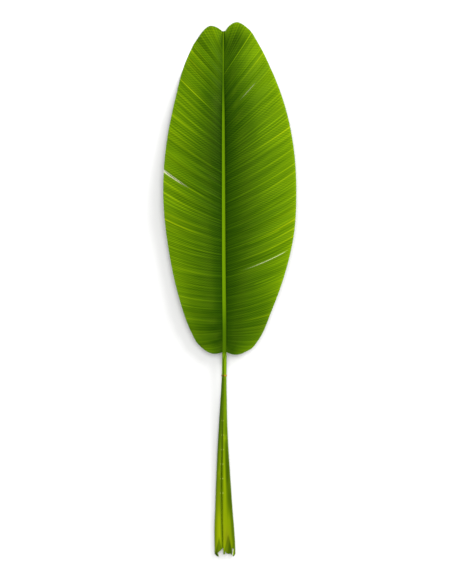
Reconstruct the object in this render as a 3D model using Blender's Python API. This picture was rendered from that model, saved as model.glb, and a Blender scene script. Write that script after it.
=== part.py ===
"""A young banana leaf, cut off with part of its sheath, lying face up on a flat surface.

Lengths are in metres. Y runs along the leaf from the cut end of the sheath to the tip, X across it,
and Z up. The leaf is worked out from its cut end (y = 0) with its rib along x = 0, and is then moved
so that the middle of its box lies over the origin.

The leaf is one sheet with an upper and a lower face. The sheet is a stack of rows across the leaf:
through the sheath and the petiole a row is the C-shaped section of the leaf stalk, and through the
blade a row follows a vein out to the left margin, and one out to the right margin.
"""

import bpy
import numpy as np

# Driving sizes
LEAF_LENGTH = 1.300
LEFT_HALF_WIDTH = 0.1467
RIGHT_HALF_WIDTH = 0.1758
BLADE_BASE = 0.4975
TIP_NOTCH = 1.2780
BLADE_THICKNESS = 0.0010

# Rows and points: how finely the sheet is cut
BLADE_ROWS = 88
STALK_ROWS = 42
STALK_POINTS = 13
RIB_POINTS = 5
POINT_SPACING = 0.0135
FEWEST_POINTS = 3

# The section of the stalk, from the cut end to the tip. Outside and channel are oval arcs, which open
# upwards: each is given by its half width, its full height and the angle from its lowest point to
# its edge. At 180 degrees it would be a closed tube. An underside below zero is pressed flat at zero.
STALK_COLUMNS = (
    "y", "underside", "half_width", "height", "opening",
    "channel_half_width", "floor", "channel_height", "channel_opening",
)
STALK_SECTIONS = (
    (0.000, -0.0012, 0.0252, 0.0180, 176, 0.0234, 0.0042, 0.0124, 176),
    (0.060, -0.0012, 0.0241, 0.0182, 176, 0.0223, 0.0044, 0.0124, 176),
    (0.115, -0.0006, 0.0209, 0.0180, 175, 0.0190, 0.0046, 0.0120, 175),
    (0.170, 0.0012, 0.0181, 0.0175, 175, 0.0161, 0.0048, 0.0113, 175),
    (0.250, 0.0055, 0.0137, 0.0160, 174, 0.0115, 0.0052, 0.0094, 174),
    (0.320, 0.0102, 0.0101, 0.0144, 172, 0.0077, 0.0058, 0.0072, 171),
    (0.380, 0.0150, 0.0076, 0.0128, 168, 0.0052, 0.0062, 0.0052, 166),
    (0.425, 0.0189, 0.0060, 0.0122, 162, 0.0036, 0.0064, 0.0045, 154),
    (0.440, 0.0200, 0.0056, 0.0120, 160, 0.0033, 0.0064, 0.0043, 150),
    (0.478, 0.0228, 0.0053, 0.0118, 150, 0.0033, 0.0066, 0.0038, 140),
    (0.498, 0.0242, 0.0053, 0.0122, 100, 0.0050, 0.0064, 0.0030, 100),
    (0.530, 0.0260, 0.0049, 0.0126, 92, 0.0048, 0.0062, 0.0026, 92),
    (0.650, 0.0315, 0.0046, 0.0118, 90, 0.0045, 0.0056, 0.0026, 90),
    (0.800, 0.0345, 0.0043, 0.0106, 90, 0.0042, 0.0050, 0.0026, 90),
    (0.950, 0.0310, 0.0040, 0.0088, 90, 0.0039, 0.0042, 0.0024, 90),
    (1.050, 0.0230, 0.0035, 0.0070, 90, 0.0034, 0.0034, 0.0022, 90),
    (1.158, 0.0115, 0.0023, 0.0040, 90, 0.0022, 0.0020, 0.0020, 90),
    (1.278, 0.0035, 0.0014, 0.0016, 90, 0.0013, 0.0011, 0.0014, 90),
)
# How far the rib strays from a straight line, along the leaf
STALK_SWAY = (
    (0.000, 0.0030), (0.088, 0.0007), (0.185, -0.0011), (0.282, -0.0020), (0.331, -0.0015),
    (0.392, -0.0003), (0.452, 0.0011), (0.510, 0.0017), (0.745, 0.0000), (1.278, -0.0012),
)
# The slit of the sheath runs beside its middle: how far the lips are moved, along the leaf. The shift
# starts at that share of the way round from the floor to a lip, and grows with that power.
SLIT_SHIFTS = (
    (0.000, -0.0051), (0.137, -0.0052), (0.185, -0.0045), (0.234, -0.0040), (0.282, -0.0015),
    (0.392, -0.0010), (0.440, 0.0000), (1.278, 0.0000),
)
SHIFT_START = 0.5
SHIFT_POWER = 1.5

# Which half of the blade a value is for, as the sign of x there
LEFT, RIGHT = -1, 1

# The ragged cut: where the sheath ends, from its left flap round its floor to its right flap
CUT_LINE = (
    (-1.00, 0.019), (-0.78, 0.012), (-0.60, 0.006), (-0.50, 0.000), (-0.30, 0.014),
    (0.00, 0.020), (0.30, 0.014), (0.50, 0.000), (0.62, 0.007), (0.80, 0.007), (1.00, 0.009),
)
CUT_REACH = 0.060

# The scar round the petiole
SCAR_PLACE = 0.4403
SCAR_ROWS = (-0.0030, -0.0012, 0.0000, 0.0012, 0.0030)
SCAR_HALF_LENGTH = 0.0022
SCAR_HEIGHT = 0.0014

# The margin of each half of the blade, from the end of the lowest vein to the notch in the tip, as
# (distance from the rib, distance from the cut end)
LEFT_MARGIN = (
    (0.0457, 0.5029), (0.0620, 0.5182), (0.0797, 0.5508), (0.1064, 0.6236), (0.1319, 0.7402),
    (LEFT_HALF_WIDTH, 0.8835), (0.1404, 0.9928), (0.1185, 1.1093), (0.0894, 1.2113),
    (0.0627, 1.2595), (0.0311, 1.2892), (0.0141, 1.2845), (0.0040, 1.2780),
)
RIGHT_MARGIN = (
    (0.0491, 0.4990), (0.0650, 0.5078), (0.0806, 0.5265), (0.1146, 0.5993), (0.1486, 0.6965),
    (0.1680, 0.7815), (RIGHT_HALF_WIDTH, 0.8786), (0.1693, 0.9757), (0.1486, 1.0850),
    (0.1146, 1.1821), (0.0806, 1.2502), (0.0563, 1.2842), (0.0296, LEAF_LENGTH),
    (0.0126, 1.2907), (0.0040, 1.2790),
)

# Veins: which share of the way along the rib leads to which share of the way along the margin, and how
# far a vein sags from a straight line, as a share of its length. The lowest vein is the rim of the lobe.
LEFT_VEIN_ENDS = (
    (0.00, 0.000), (0.10, 0.110), (0.25, 0.272), (0.38, 0.428), (0.45, 0.521), (0.57, 0.635),
    (0.73, 0.795), (0.86, 0.896), (1.00, 1.000),
)
RIGHT_VEIN_ENDS = (
    (0.00, 0.000), (0.05, 0.068), (0.12, 0.165), (0.24, 0.310), (0.35, 0.426), (0.46, 0.536),
    (0.57, 0.640), (0.73, 0.808), (0.86, 0.908), (1.00, 1.000),
)
VEIN_SAGS = (
    (0.00, 0.29), (0.02, 0.12), (0.06, 0.05), (0.25, 0.08), (0.40, 0.07), (0.60, 0.03), (1.00, 0.02),
)

BLADE_HALVES = {LEFT: (LEFT_MARGIN, LEFT_VEIN_ENDS), RIGHT: (RIGHT_MARGIN, RIGHT_VEIN_ENDS)}

# Heights of the margin, and of the crest between rib and margin as a share of the vein's length, by
# the share of the way along the rib
MARGIN_HEIGHTS = (
    (0.00, 0.0290), (0.15, 0.0340), (0.35, 0.0370), (0.50, 0.0340), (0.62, 0.0220),
    (0.70, 0.0100), (0.78, 0.0000), (0.86, 0.0030), (1.00, 0.0060),
)
CREST_SHARES = ((0.00, 0.040), (0.15, 0.085), (0.70, 0.080), (0.85, 0.050), (1.00, 0.020))
DROOP_POWER = 1.5

# The margins wave up and down. Pleats run out along the veins, closer and wider apart by turns, and
# start over the first part of a vein; between them each second row is folded up and the rest down.
WAVE_COUNT = 3.6
WAVE_HEIGHT = 0.0030
PLEAT_COUNT = 11
PLEAT_HEIGHT = 0.0011
PLEAT_DRIFT = 0.9
PLEAT_DRIFT_COUNT = 2.5
PLEAT_START = 0.25
FOLD_HEIGHT = 0.0006

# Tears along the veins: (side, place along the rib, where along the vein it starts and ends, width).
# A tear that ends past 1 is open at the margin.
TEARS = (
    (LEFT, 0.453, 0.57, 2.00, 0.0056),
    (RIGHT, 0.731, 0.30, 0.68, 0.0018),
    (RIGHT, 0.240, 0.28, 0.90, 0.0018),
)


def curve_between(knots, values, slopes, places):
    """Cubic curve through the values at the knots, with those slopes there."""
    step = np.clip(np.searchsorted(knots, places, side="right") - 1, 0, len(knots) - 2)
    width = knots[step + 1] - knots[step]
    share = np.clip((places - knots[step]) / width, 0.0, 1.0)
    start, end = values[step], values[step + 1]
    rise = 3 * share**2 - 2 * share**3
    lean_in = share * (1 - share) ** 2 * width * slopes[step]
    lean_out = share**2 * (share - 1) * width * slopes[step + 1]
    return start + (end - start) * rise + lean_in + lean_out


def profile(pairs, places):
    """A value that changes smoothly between the given ones and never overshoots them."""
    knots, values = np.array(pairs, float).T
    steps = np.diff(values) / np.diff(knots)
    slopes = np.zeros(len(knots))
    same_way = steps[:-1] * steps[1:] > 0
    before, after = steps[:-1][same_way], steps[1:][same_way]
    slopes[1:-1][same_way] = 2 * before * after / (before + after)
    return curve_between(knots, values, slopes, np.asarray(places, float))


def outline(corners, shares):
    """Points on a rounded line through the corners, at those shares of its length."""
    corners = np.array(corners, float)
    knots = np.concatenate([[0.0], np.cumsum(np.linalg.norm(np.diff(corners, axis=0), axis=1))])
    places = np.asarray(shares, float) * knots[-1]
    slopes = np.gradient(corners, knots, axis=0)
    return np.stack([curve_between(knots, corners[:, i], slopes[:, i], places) for i in (0, 1)], axis=-1)


def stalk_section(y):
    """The measures of the stalk's section at one place along the leaf."""
    columns = np.array(STALK_SECTIONS).T
    return {
        name: float(profile(np.stack([columns[0], column], axis=1), y))
        for name, column in zip(STALK_COLUMNS, columns)
    }


def oval(half_width, height, opening, across):
    """Points on an oval arc that is lowest at across = 0 and ends at -1 and 1, as x and z."""
    angle = np.radians(opening) * across
    return half_width * np.sin(angle), height / 2 * (1 - np.cos(angle))


def stalk_row(y, count):
    """A row across the stalk: its upper points, in the channel, and its lower points, outside."""
    across = np.linspace(-1, 1, count)
    size = stalk_section(y)
    lower_x, lower_z = oval(size["half_width"], size["height"], size["opening"], across)
    upper_x, upper_z = oval(
        size["channel_half_width"], size["channel_height"], size["channel_opening"], across
    )
    swelling = SCAR_HEIGHT * max(0.0, 1 - ((y - SCAR_PLACE) / SCAR_HALF_LENGTH) ** 2)
    lower_x = lower_x * (1 + swelling / size["half_width"])
    lower_z = lower_z * (1 + 2 * swelling / size["height"]) - swelling
    lips = np.clip((abs(across) - SHIFT_START) / (1 - SHIFT_START), 0.0, 1.0) ** SHIFT_POWER
    sway = profile(STALK_SWAY, y) + profile(SLIT_SHIFTS, y) * lips
    cut = profile(CUT_LINE, across) * max(0.0, 1 - y / CUT_REACH)
    upper = np.stack([upper_x + sway, y + cut, size["underside"] + size["floor"] + upper_z], axis=1)
    lower_z = np.maximum(size["underside"] + lower_z, 0.0)
    lower = np.stack([lower_x + sway, y + cut, lower_z], axis=1)
    return upper, lower


def vein_point(side, along, out):
    """The upper point of the blade that far along the rib and that share of the way out to the margin."""
    y = BLADE_BASE + along * (TIP_NOTCH - BLADE_BASE)
    root_x, _, root_z = stalk_row(y, 3)[0][0 if side == LEFT else -1]
    root = np.array([root_x, y])
    margin, vein_ends = BLADE_HALVES[side]
    distance, end_y = outline(margin, profile(vein_ends, along))
    end = np.array([side * distance, end_y])
    length = np.linalg.norm(end - root)
    middle = (root + end) / 2 - np.array([0.0, profile(VEIN_SAGS, along) * length])
    x, y = (1 - out) ** 2 * root + 2 * out * (1 - out) * middle + out**2 * end
    return x, y, blade_height(side, along, out, length, root_z)


def blade_height(side, along, out, length, root_z):
    """Height of the blade: it rises from the rib, arches over and droops to the margin."""
    margin_z = profile(MARGIN_HEIGHTS, along)
    arch = out * (1 - out) ** 2 * 27 / 4  # rises to 1 a third of the way out
    crest = profile(CREST_SHARES, along) * length * arch
    wave = WAVE_HEIGHT * np.sin(2 * np.pi * WAVE_COUNT * along + side) * out**3
    drift = PLEAT_DRIFT * np.sin(2 * np.pi * PLEAT_DRIFT_COUNT * along + side)
    pleat = PLEAT_HEIGHT * np.sin(2 * np.pi * (PLEAT_COUNT * along + drift)) * pleat_share(out)
    return float(root_z + (margin_z - root_z) * out**DROOP_POWER + crest + wave + pleat)


def pleat_share(out):
    """How much of its full height a pleat has that far along a vein."""
    return min(1.0, out / PLEAT_START)


class Sheet:
    """Points with an upper and a lower place each, and the triangles between them."""

    def __init__(self):
        self.upper = []
        self.lower = []
        self.triangles = []

    def add(self, upper, lower):
        self.upper.append(upper)
        self.lower.append(lower)
        return len(self.upper) - 1

    def join(self, near, far):
        """Triangles between two rows of points, which may hold different numbers of points."""
        i = j = 0
        while i < len(near) - 1 or j < len(far) - 1:
            near_is_behind = (i + 1) * (len(far) - 1) <= (j + 1) * (len(near) - 1)
            if i < len(near) - 1 and near_is_behind:
                self.triangles.append((near[i], near[i + 1], far[j]))
                i += 1
            else:
                self.triangles.append((near[i], far[j + 1], far[j]))
                j += 1

    def solid_faces(self):
        """The faces of the sheet given its thickness, with a wall along each open edge."""
        count = len(self.upper)
        edges = {(a, b) for t in self.triangles for a, b in zip(t, t[1:] + t[:1])}
        open_edges = sorted(edge for edge in edges if edge[::-1] not in edges)
        faces = list(self.triangles)
        faces += [(c + count, b + count, a + count) for a, b, c in self.triangles]
        for a, b in open_edges:
            faces += [(b, a, a + count), (b, a + count, b + count)]
        return faces


def blade_places():
    """The rows of the blade, as shares of the rib, with a row on each tear."""
    places = np.linspace(0, 1, BLADE_ROWS)
    for _, place, *_ in TEARS:
        places[np.argmin(abs(places - place))] = place
    return places


def tear_gap(side, along, out):
    """Half the width of a tear there, as a share of the rib's length."""
    for tear_side, place, start, end, width in TEARS:
        if side != tear_side or along != place or not start < out < end:
            continue
        share = (out - start) / (min(end, 1.0) - start)
        shape = np.sqrt(share) if end > 1 else np.sin(np.pi * share) ** 0.5
        return width / 2 * shape / (TIP_NOTCH - BLADE_BASE)
    return 0.0


def add_blade_point(sheet, side, along, out, fold):
    x, y, z = vein_point(side, along, out)
    z = max(z + fold, BLADE_THICKNESS)
    return sheet.add((x, y, z), (x, y, z - BLADE_THICKNESS))


def add_half_row(sheet, side, along, root, fold):
    """A vein from its root to the margin, twice: as the row before sees it, and as the row after does.

    The two are the same points, but for where a tear parts them.
    """
    length = np.linalg.norm(np.subtract(vein_point(side, along, 1)[:2], vein_point(side, along, 0)[:2]))
    count = max(FEWEST_POINTS, round(length / POINT_SPACING))
    first, second = [root], [root]
    for out in np.linspace(0, 1, count + 1)[1:]:
        height = fold * pleat_share(out) * (out < 1)
        gap = tear_gap(side, along, out)
        first.append(add_blade_point(sheet, side, along - gap, out, height))
        second.append(add_blade_point(sheet, side, along + gap, out, height) if gap else first[-1])
    return first, second


def add_blade(sheet, last_stalk_row):
    """Both halves of the blade with the rib between them, joined to the petiole's last row."""
    middle_before = last_stalk_row
    halves_before = None
    for number, along in enumerate(blade_places()):
        y = BLADE_BASE + along * (TIP_NOTCH - BLADE_BASE)
        middle = [sheet.add(*points) for points in zip(*stalk_row(y, RIB_POINTS))]
        fold = FOLD_HEIGHT * (1 if number % 2 else -1) * (0 < along < 1)
        left = add_half_row(sheet, LEFT, along, middle[0], fold)
        right = add_half_row(sheet, RIGHT, along, middle[-1], fold)
        sheet.join(middle_before, middle)
        if halves_before:
            sheet.join(halves_before[0][::-1], left[0][::-1])
            sheet.join(halves_before[1], right[0])
        middle_before = middle
        halves_before = left[1], right[1]


def add_stalk(sheet):
    """The sheath and the petiole, from the cut end to the blade. Returns the last row."""
    step = BLADE_BASE / STALK_ROWS
    places = [number * step for number in range(STALK_ROWS)]
    places = [y for y in places if abs(y - SCAR_PLACE) > SCAR_ROWS[-1] + step / 4]
    places = sorted(places + [SCAR_PLACE + offset for offset in SCAR_ROWS])
    rows = [[sheet.add(*points) for points in zip(*stalk_row(y, STALK_POINTS))] for y in places]
    for near, far in zip(rows, rows[1:]):
        sheet.join(near, far)
    return rows[-1]


def leaf_material():
    material = bpy.data.materials.new("leaf_green")
    material.use_nodes = True
    shader = material.node_tree.nodes["Principled BSDF"]
    shader.inputs["Base Color"].default_value = (0.072, 0.195, 0.004, 1)
    shader.inputs["Roughness"].default_value = 0.45
    shader.inputs["Metallic"].default_value = 0.0
    return material


def make_leaf():
    sheet = Sheet()
    add_blade(sheet, add_stalk(sheet))
    points = np.array(sheet.upper + sheet.lower)
    points[:, 0] += (LEFT_HALF_WIDTH - RIGHT_HALF_WIDTH) / 2
    points[:, 1] -= LEAF_LENGTH / 2
    mesh = bpy.data.meshes.new("banana_leaf")
    mesh.from_pydata(points.tolist(), [], sheet.solid_faces())
    mesh.materials.append(leaf_material())
    mesh.shade_smooth()
    leaf = bpy.data.objects.new("banana_leaf", mesh)
    bpy.context.scene.collection.objects.link(leaf)
    return leaf


def main():
    for old in list(bpy.data.objects):
        bpy.data.objects.remove(old)
    make_leaf()


main()
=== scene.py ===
"""How a young banana leaf looks, cut off with part of its sheath and lying face up on a pale floor.

Lengths are in metres. The leaf is worked out from the cut end of its sheath (y = 0) with its rib along
x = 0, as its solid is, and is then moved over the middle of the solid's box. One fine sheet with an
upper and a lower face stands for the whole leaf: the rows of the blade follow its side veins. Marks on
the points tell the materials where on the leaf they are.
"""

import bpy
import numpy as np
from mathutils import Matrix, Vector


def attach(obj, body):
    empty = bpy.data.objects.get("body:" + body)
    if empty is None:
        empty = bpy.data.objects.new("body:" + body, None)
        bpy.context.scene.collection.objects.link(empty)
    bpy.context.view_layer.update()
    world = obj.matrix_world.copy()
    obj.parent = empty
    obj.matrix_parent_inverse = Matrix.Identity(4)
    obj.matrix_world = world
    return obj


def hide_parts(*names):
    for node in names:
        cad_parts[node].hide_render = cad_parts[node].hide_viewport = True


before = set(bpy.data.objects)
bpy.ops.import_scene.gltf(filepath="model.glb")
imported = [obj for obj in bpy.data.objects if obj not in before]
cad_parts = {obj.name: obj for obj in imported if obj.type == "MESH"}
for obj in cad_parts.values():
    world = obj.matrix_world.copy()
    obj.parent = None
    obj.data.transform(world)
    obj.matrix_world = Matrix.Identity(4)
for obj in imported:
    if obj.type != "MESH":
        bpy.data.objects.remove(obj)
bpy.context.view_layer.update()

# Driving sizes, as in the solid. The blade is thinner here, and its underside is where the solid's is.
LEAF_LENGTH = 1.300
LEFT_HALF_WIDTH = 0.1467
RIGHT_HALF_WIDTH = 0.1758
BLADE_BASE = 0.4975
TIP_NOTCH = 1.2780
RIB_LENGTH = TIP_NOTCH - BLADE_BASE
SOLID_THICKNESS = 0.0010
BLADE_THICKNESS = 0.00045

# How finely the sheet is cut. The rows at the scar are close together, and others keep clear of them.
BLADE_ROWS = 660
BLADE_COLUMNS = 24
RIB_POINTS = 9
STALK_POINTS = 65
STALK_STEP = 0.0060
CUT_STEP = 0.0014
SCAR_STEP = 0.00072
SCAR_ROWS_EACH_WAY = 4
SCAR_CLEARANCE = 0.001

# Lengths closer than this count as the same
SAME_PLACE = 1e-6

# The section of the stalk, from the cut end to the tip. Outside and channel are oval arcs, which open
# upwards: each is given by its half width, its full height and the angle from its lowest point to
# its edge. At 180 degrees it would be a closed tube. An underside below zero is pressed flat at zero.
# Below the scar the lips of the channel nearly touch.
STALK_COLUMNS = (
    "y", "underside", "half_width", "height", "opening",
    "channel_half_width", "floor", "channel_height", "channel_opening",
)
STALK_SECTIONS = (
    (0.000, -0.0012, 0.0252, 0.0180, 177, 0.0234, 0.0042, 0.0124, 177),
    (0.060, -0.0012, 0.0242, 0.0182, 176.4, 0.0223, 0.0044, 0.0124, 176.4),
    (0.115, -0.0006, 0.0211, 0.0180, 174, 0.0190, 0.0046, 0.0120, 174),
    (0.170, 0.0012, 0.0183, 0.0175, 174.6, 0.0161, 0.0048, 0.0113, 174.6),
    (0.250, 0.0055, 0.0140, 0.0160, 173.5, 0.0115, 0.0052, 0.0094, 173.5),
    (0.320, 0.0102, 0.0104, 0.0144, 173.5, 0.0077, 0.0058, 0.0072, 173.5),
    (0.380, 0.0150, 0.0079, 0.0128, 174, 0.0052, 0.0062, 0.0052, 173),
    (0.430, 0.0193, 0.0060, 0.0121, 170, 0.0034, 0.0064, 0.0044, 166),
    (0.440, 0.0200, 0.0058, 0.0120, 168, 0.0033, 0.0064, 0.0043, 162),
    (0.478, 0.0228, 0.0056, 0.0118, 168, 0.0033, 0.0066, 0.0038, 162),
    (0.498, 0.0242, 0.0055, 0.0122, 100, 0.0050, 0.0064, 0.0030, 100),
    (0.530, 0.0260, 0.0049, 0.0126, 92, 0.0048, 0.0062, 0.0026, 92),
    (0.650, 0.0315, 0.0046, 0.0118, 90, 0.0045, 0.0056, 0.0026, 90),
    (0.800, 0.0345, 0.0043, 0.0106, 90, 0.0042, 0.0050, 0.0026, 90),
    (0.950, 0.0310, 0.0040, 0.0088, 90, 0.0039, 0.0042, 0.0024, 90),
    (1.050, 0.0230, 0.0035, 0.0070, 90, 0.0034, 0.0034, 0.0022, 90),
    (1.158, 0.0115, 0.0023, 0.0040, 90, 0.0022, 0.0020, 0.0020, 90),
    (1.278, 0.0035, 0.0014, 0.0016, 90, 0.0013, 0.0011, 0.0014, 90),
)
# How far the rib strays from a straight line, along the leaf
STALK_SWAY = (
    (0.000, 0.0030), (0.088, 0.0007), (0.185, -0.0011), (0.282, -0.0020), (0.331, -0.0015),
    (0.392, -0.0003), (0.452, 0.0011), (0.510, 0.0017), (0.745, 0.0000), (1.278, -0.0012),
)
# The slit of the sheath runs beside its middle: how far the lips are moved, along the leaf. The shift
# starts at that share of the way round from the floor to a lip, and grows with that power.
SLIT_SHIFTS = (
    (0.000, -0.0055), (0.046, -0.0049), (0.065, -0.0045), (0.090, -0.0051), (0.126, -0.0045),
    (0.162, -0.0049), (0.200, -0.0045), (0.235, -0.0029), (0.284, -0.0013), (0.430, -0.0012),
    (0.478, -0.0019), (0.498, 0.0000), (1.278, 0.0000),
)
SHIFT_START = 0.5
SHIFT_POWER = 1.5

# Which half of the blade a value is for, as the sign of x there
LEFT, RIGHT = -1, 1

# The ragged cut: where the sheath ends, from its left flap round its floor to its right flap, which
# has a narrow gap near its side and a strip left hanging at its lip. The line fades into straight rows
# over the reach of the cut. The ends of the flaps curl inwards, by that share of their distance from
# the middle at the cut, and less with that power over the reach of the curl.
CUT_LINE = (
    (-1.00, 0.0192), (-0.95, 0.0161), (-0.90, 0.0136), (-0.85, 0.0113), (-0.80, 0.0093),
    (-0.775, 0.0085), (-0.765, 0.0005), (-0.70, 0.0000), (-0.60, 0.0010), (-0.50, 0.0040),
    (-0.30, 0.0190), (0.00, 0.0200), (0.30, 0.0190), (0.50, 0.0040), (0.58, 0.0000),
    (0.630, 0.0010), (0.638, 0.0200), (0.735, 0.0200), (0.743, 0.0045), (0.755, 0.0042),
    (0.775, 0.0062), (0.80, 0.0074), (0.85, 0.0066), (0.90, 0.0078), (0.925, 0.0095),
    (0.940, 0.0125), (0.948, 0.0140), (0.955, 0.0058), (1.00, 0.0056),
)
CUT_REACH = 0.060
CURL_SHARES = {LEFT: 0.25, RIGHT: 0.14}
CURL_REACH = 0.0068
CURL_POWER = 1.3

# The scar round the petiole, which is brown over most of its length
SCAR_PLACE = 0.4403
SCAR_HALF_LENGTH = 0.0022
SCAR_HEIGHT = 0.0014
BROWN_HALF_LENGTH = SCAR_HALF_LENGTH * 0.8

# The margin of each half of the blade, from the end of the lowest vein to the notch in the tip, as
# (distance from the rib, distance from the cut end). It lies up to 3 mm further out than the solid's.
LEFT_MARGIN = (
    (0.0467, 0.5021), (0.0630, 0.5176), (0.0812, 0.5508), (0.1068, 0.6236), (0.1329, 0.7402),
    (LEFT_HALF_WIDTH, 0.8835), (0.1404, 0.9928), (0.1185, 1.1093), (0.0900, 1.2113),
    (0.0640, 1.2602), (0.0315, 1.2908), (0.0141, 1.2855), (0.0040, 1.2780),
)
RIGHT_MARGIN = (
    (0.0510, 0.4972), (0.0675, 0.5063), (0.0832, 0.5255), (0.1167, 0.5993), (0.1509, 0.6965),
    (0.1698, 0.7815), (RIGHT_HALF_WIDTH, 0.8786), (0.1714, 0.9757), (0.1512, 1.0850),
    (0.1170, 1.1821), (0.0832, 1.2502), (0.0588, 1.2848), (0.0296, LEAF_LENGTH),
    (0.0126, 1.2907), (0.0040, 1.2790),
)

# Veins: which share of the way along the rib leads to which share of the way along the margin, and how
# far a vein sags from a straight line, as a share of its length. The lowest vein is the rim of the lobe.
LEFT_VEIN_ENDS = (
    (0.00, 0.000), (0.10, 0.110), (0.25, 0.272), (0.38, 0.428), (0.45, 0.521), (0.57, 0.635),
    (0.73, 0.795), (0.86, 0.896), (1.00, 1.000),
)
RIGHT_VEIN_ENDS = (
    (0.00, 0.000), (0.05, 0.068), (0.12, 0.165), (0.24, 0.310), (0.35, 0.426), (0.46, 0.536),
    (0.57, 0.640), (0.73, 0.808), (0.86, 0.908), (1.00, 1.000),
)
VEIN_SAGS = (
    (0.00, 0.29), (0.02, 0.12), (0.06, 0.05), (0.25, 0.08), (0.40, 0.07), (0.60, 0.03), (1.00, 0.02),
)

BLADE_HALVES = {LEFT: (LEFT_MARGIN, LEFT_VEIN_ENDS), RIGHT: (RIGHT_MARGIN, RIGHT_VEIN_ENDS)}

# Heights of the margin, and of the crest between rib and margin as a share of the vein's length, by
# the share of the way along the rib
MARGIN_HEIGHTS = (
    (0.00, 0.0290), (0.15, 0.0340), (0.35, 0.0370), (0.50, 0.0340), (0.62, 0.0220),
    (0.70, 0.0100), (0.78, 0.0000), (0.86, 0.0030), (1.00, 0.0060),
)
CREST_SHARES = ((0.00, 0.040), (0.15, 0.085), (0.70, 0.080), (0.85, 0.050), (1.00, 0.020))
DROOP_POWER = 1.5

# The margins wave up and down. Pleats run out along the veins, closer and wider apart by turns, and
# start over the first part of a vein.
WAVE_COUNT = 3.6
WAVE_HEIGHT = 0.0030
PLEAT_COUNT = 11
PLEAT_HEIGHT = 0.0011
PLEAT_DRIFT = 0.9
PLEAT_DRIFT_COUNT = 2.5
PLEAT_START = 0.25

# Side veins are fine ridges along the rows. They stray from an even spacing by two slow waves, each
# given by its share of a spacing and its length per radian, and fade out over the ends of a vein.
VEIN_SPACING = 0.0063
VEIN_HEIGHT = 0.00012
LONG_STRAY, LONG_STRAY_LENGTH = 0.20, 0.0075
SHORT_STRAY, SHORT_STRAY_LENGTH = 0.13, 0.0033
VEIN_FADE_IN = 0.05
VEIN_FADE_OUT = 0.04

# The patterns take a vein for one further back than it is, by that much at the base of the blade and
# less along it. So they are drawn out at the lobes.
FAN_SHIFT = 0.050
FAN_REACH = 0.025

# Tears along the veins: (side, place along the rib, where along the vein it starts and ends, width,
# how dry and pale its lips are). A tear that ends past 1 is open at the margin.
TEARS = (
    (LEFT, 0.453, 0.57, 2.00, 0.0036, 1.00),
    (RIGHT, 0.731, 0.31, 0.67, 0.0004, 0.35),
    (RIGHT, 0.240, 0.24, 0.92, 0.0004, 0.60),
)
# One lip of a tear is lifted that much, and the other goes down by that share of it
LIP_LIFT = 0.0005
LIP_REACH = 0.0070
LIP_DROP = 0.5
# Lips are pale as far as the reach beside a tear of that width, and less far beside a narrower one,
# but at least by that share. Their paleness grows that many times as fast as the tear opens, up to full.
DRY_REACH = 0.0038
DRY_WIDTH = 0.0036
DRY_LEAST = 0.15
DRY_RISE = 2

# Veins that stand out bright: (side, place along the rib, where along the vein it starts and ends,
# strength). They fade in and out over that share of a vein.
BRIGHT_FADE = 0.05
BRIGHT_VEINS = (
    (LEFT, 0.453, 0.30, 0.60, 0.6),
    (LEFT, 0.640, 0.35, 0.95, 0.4),
    (LEFT, 0.322, 0.25, 0.85, 0.4),
    (RIGHT, 0.310, 0.30, 0.80, 0.8),
    (RIGHT, 0.187, 0.45, 0.85, 0.6),
    (RIGHT, 0.240, 0.20, 0.98, 0.5),
    (RIGHT, 0.520, 0.45, 0.95, 0.5),
    (RIGHT, 0.606, 0.50, 0.98, 0.6),
)
BRIGHT_VEIN_WIDTH = 0.0012

# Tones are shares of the way from black to the yellowest green. Those of the blade change from the
# rib to the margin, and those of the rib along the leaf. The blade's darkening towards the rib is partly
# its own colour and partly painted shade, where the halves rise from the rib.
LEFT_TONES = (
    (0.00, 0.28), (0.06, 0.305), (0.15, 0.33), (0.27, 0.37), (0.42, 0.44), (0.57, 0.51), (0.72, 0.555),
    (0.86, 0.585), (0.97, 0.58), (1.00, 0.60),
)
RIGHT_TONES = (
    (0.00, 0.32), (0.06, 0.335), (0.15, 0.345), (0.27, 0.355), (0.42, 0.42), (0.57, 0.49), (0.72, 0.545),
    (0.86, 0.59), (0.97, 0.64), (1.00, 0.71),
)
BLADE_TONES = {LEFT: LEFT_TONES, RIGHT: RIGHT_TONES}
RIB_TONES = (
    (0.498, 0.47), (0.540, 0.48), (0.624, 0.60), (0.770, 0.62), (1.060, 0.59), (1.121, 0.49),
    (1.158, 0.41), (1.206, 0.45), (1.243, 0.54), (1.278, 0.60),
)
# From there to its edge, the rib passes into the tone of the blade
RIB_EDGE = 0.80
# Those of the upper side of the stalk change from left to right, seen from above, and along it: one
# list for the end of the sheath, one for its neck, one for the petiole up to the scar, one above it.
# They are partly the stalk's own colour and partly painted light: the flanks are lighter, to make up for
# the shade they lie in.
SHEATH_TONES = (
    (-1.00, 0.60), (-0.90, 0.64), (-0.80, 0.66), (-0.62, 0.74), (-0.45, 0.74), (-0.35, 0.64),
    (-0.28, 0.54), (-0.18, 0.56), (-0.10, 0.69), (0.04, 0.67), (0.28, 0.65), (0.50, 0.63),
    (0.61, 0.62), (0.71, 0.54), (0.81, 0.46), (0.93, 0.49), (1.00, 0.57),
)
NECK_TONES = (
    (-1.00, 0.54), (-0.80, 0.58), (-0.62, 0.65), (-0.45, 0.68), (-0.32, 0.48), (-0.20, 0.41),
    (-0.06, 0.52), (0.08, 0.68), (0.22, 0.69), (0.36, 0.50), (0.50, 0.36), (0.70, 0.31),
    (0.86, 0.37), (1.00, 0.52),
)
PETIOLE_TONES = (
    (-1.00, 0.43), (-0.50, 0.45), (-0.20, 0.47), (0.10, 0.56), (0.40, 0.61), (1.00, 0.62),
)
TOP_TONES = ((-1.00, 0.66), (-0.60, 0.66), (-0.20, 0.66), (0.10, 0.68), (0.60, 0.68), (1.00, 0.66))
STALK_TONES = (
    (0.090, SHEATH_TONES), (0.190, NECK_TONES), (0.350, PETIOLE_TONES), (0.436, PETIOLE_TONES),
    (0.444, TOP_TONES),
)
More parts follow.
